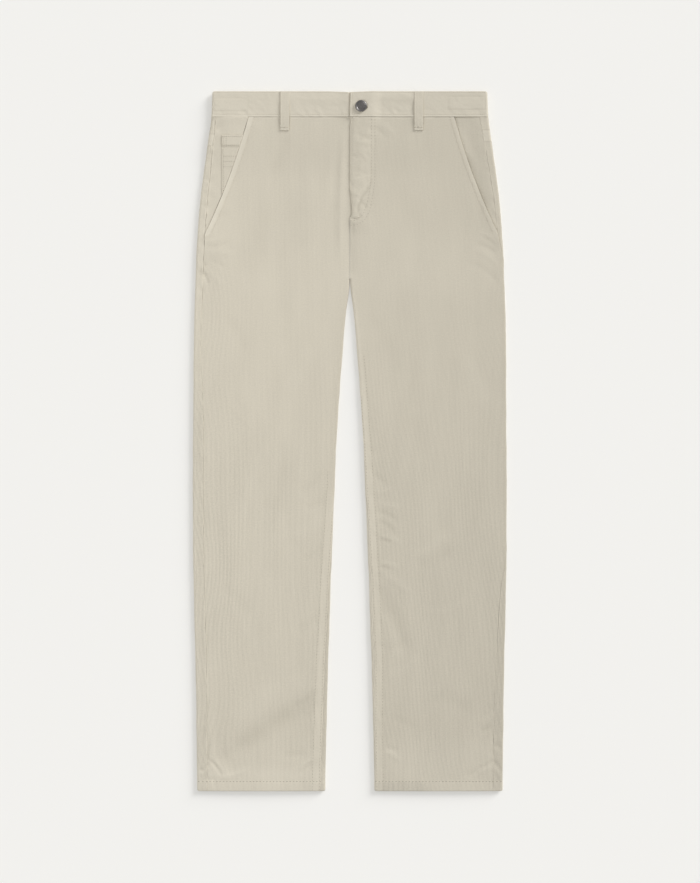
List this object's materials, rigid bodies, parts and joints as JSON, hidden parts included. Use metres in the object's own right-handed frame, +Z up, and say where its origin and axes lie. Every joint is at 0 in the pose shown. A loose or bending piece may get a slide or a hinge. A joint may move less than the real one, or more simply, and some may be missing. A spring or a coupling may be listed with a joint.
{
  "type": "straight-leg corduroy trousers, laid flat",
  "caption": "Men's straight-leg trousers in beige fine corduroy, laid flat, with slant pockets, coin pocket, fly, belt loops and metal waist button.",
  "frame": {"origin": "on the surface that the trousers lie on, below the middle of the garment", "axes": "+X to the wearer's left, +Y from the hems to the waist, +Z up out of the front, towards the viewer"},
  "size_m": [0.4599, 1.03, 0.0134],
  "materials": {
    "corduroy": "fine-ribbed cotton corduroy with a soft dull nap, beige",
    "button_metal": "dark gunmetal, brushed, worn brighter on its rim"
  },
  "bodies": {
    "root": {"front_right": "corduroy", "front_left": "corduroy", "back_right": "corduroy", "back_left": "corduroy", "waistband_right": "corduroy", "waistband_left": "corduroy", "pocket_facing_right": "corduroy", "pocket_facing_left": "corduroy", "coin_pocket": "corduroy", "belt_loop_front_right": "corduroy", "belt_loop_front_left": "corduroy", "belt_loop_back_right": "corduroy", "belt_loop_back_centre": "corduroy", "belt_loop_back_left": "corduroy", "button": "button_metal"}
  },
  "joints": []
}
